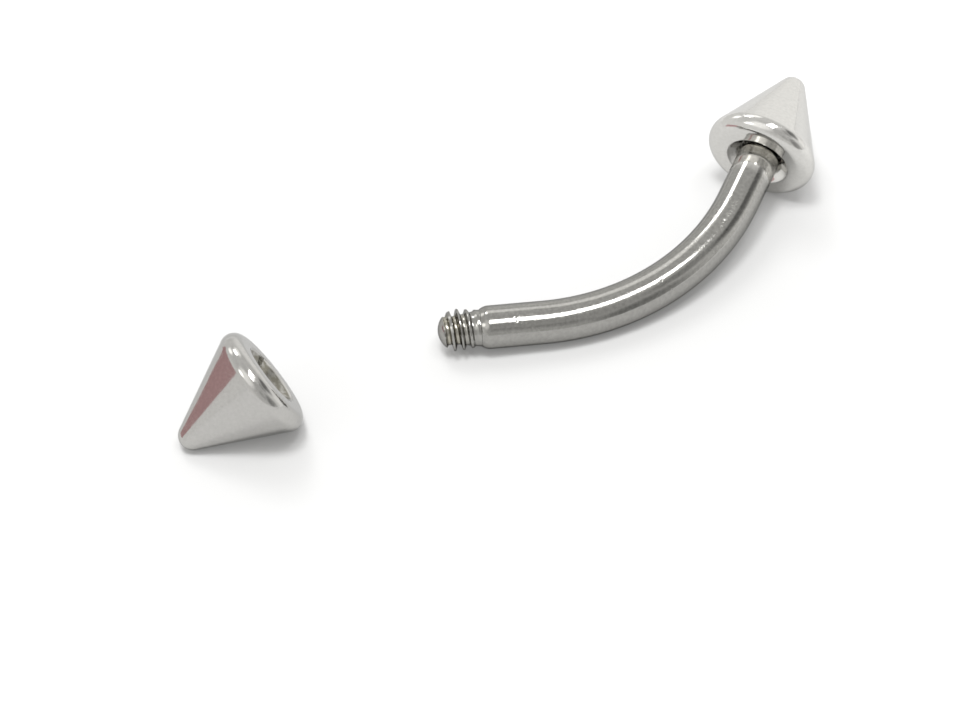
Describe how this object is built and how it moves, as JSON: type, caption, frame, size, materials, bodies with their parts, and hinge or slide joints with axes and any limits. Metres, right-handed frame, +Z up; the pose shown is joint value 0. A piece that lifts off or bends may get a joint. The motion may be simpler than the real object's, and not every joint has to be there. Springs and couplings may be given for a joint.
{
  "type": "curved eyebrow barbell",
  "caption": "Polished steel curved eyebrow barbell with a screw-on spike cone fitted at its far end and the matching cone lying loose beside the bare threaded end.",
  "frame": {"origin": "middle of the whole set's box on the surface that it lies on", "axes": "+X to the right, from the loose cone to the fitted one; +Y away from the viewer; +Z up from the surface"},
  "size_m": [0.0182, 0.0114, 0.0031],
  "materials": {
    "shank_steel": "polished surgical steel with fine rubbing marks",
    "cone_steel": "bright polished surgical steel"
  },
  "bodies": {
    "barbell": {"bar": "shank_steel", "loose_cone": "cone_steel"},
    "fitted_cone": {"mounted_cone": "cone_steel"}
  },
  "joints": [
    {"name": "cone_off", "type": "slide", "parent": "barbell", "child": "fitted_cone", "axis": [0.4632, 0.8664, 0.1865], "range_m": [0, 0.002]}
  ]
}
